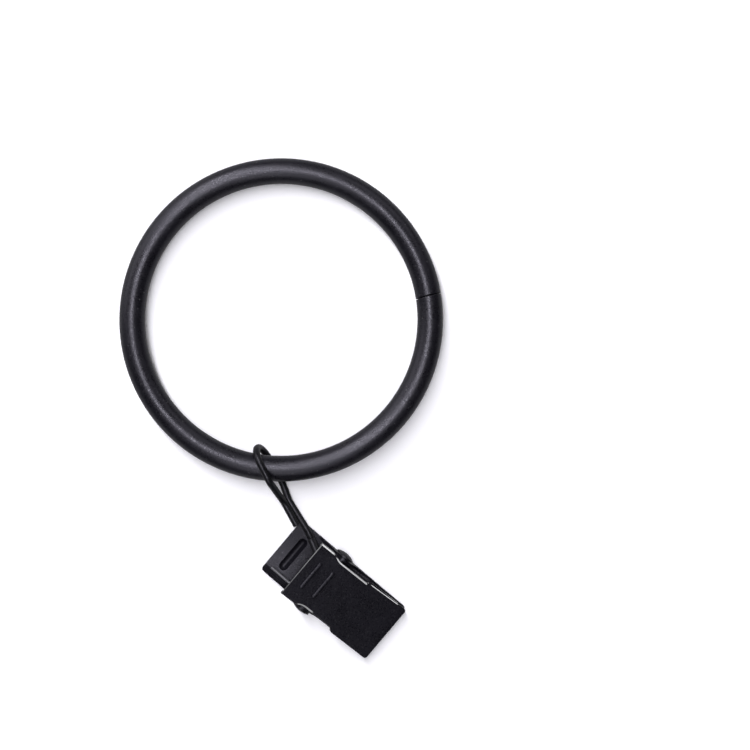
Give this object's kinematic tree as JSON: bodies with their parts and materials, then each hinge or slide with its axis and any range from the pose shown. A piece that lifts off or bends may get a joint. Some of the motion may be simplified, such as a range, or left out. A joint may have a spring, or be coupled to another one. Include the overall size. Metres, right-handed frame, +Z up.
{
  "type": "curtain ring with clip",
  "caption": "Round tube curtain ring with a bent wire hook that carries a sprung two-jaw clip for gripping a curtain's edge.",
  "frame": {"origin": "the centre of the ring's tube circle", "axes": "+Z up from the surface that the object lies on, +Y away from the clip, +X to the side that the clip points to"},
  "size_m": [0.0604, 0.0934, 0.0084],
  "materials": {
    "ring_paint": "satin black paint",
    "wire_paint": "satin black paint",
    "sheet_paint": "satin black paint",
    "rivet_paint": "satin black paint",
    "spring_paint": "satin black paint"
  },
  "bodies": {
    "ring": {"ring": "ring_paint"},
    "hook": {"hook": "wire_paint"},
    "rivet": {"rivet": "rivet_paint"},
    "back_jaw": {"back_jaw": "sheet_paint", "spring": "spring_paint"},
    "front_jaw": {"front_jaw": "sheet_paint"}
  },
  "joints": [
    {"name": "hook_swing", "type": "hinge", "parent": "ring", "child": "hook", "pos_m": [-0.00151, -0.02776, 0.00072], "axis": [-0.9985, 0.0544, 0], "range_deg": [-150, 150]},
    {"name": "eye_slide", "type": "slide", "parent": "hook", "child": "rivet", "axis": [0.6455, 0.7638, 0], "range_m": [0, 0.0025]},
    {"name": "clip_tilt", "type": "hinge", "parent": "rivet", "child": "back_jaw", "pos_m": [0.00779, -0.04885, 0.0007], "axis": [-0.6455, -0.7638, 0], "range_deg": [0, 12]},
    {"name": "jaw_open", "type": "hinge", "parent": "back_jaw", "child": "front_jaw", "pos_m": [0.00779, -0.04885, 0.0007], "axis": [-0.6455, -0.7638, 0], "range_deg": [0, 20], "stiffness_Nm_per_rad": 0.05, "springref_deg": -45.84, "deforming": ["spring"]}
  ]
}
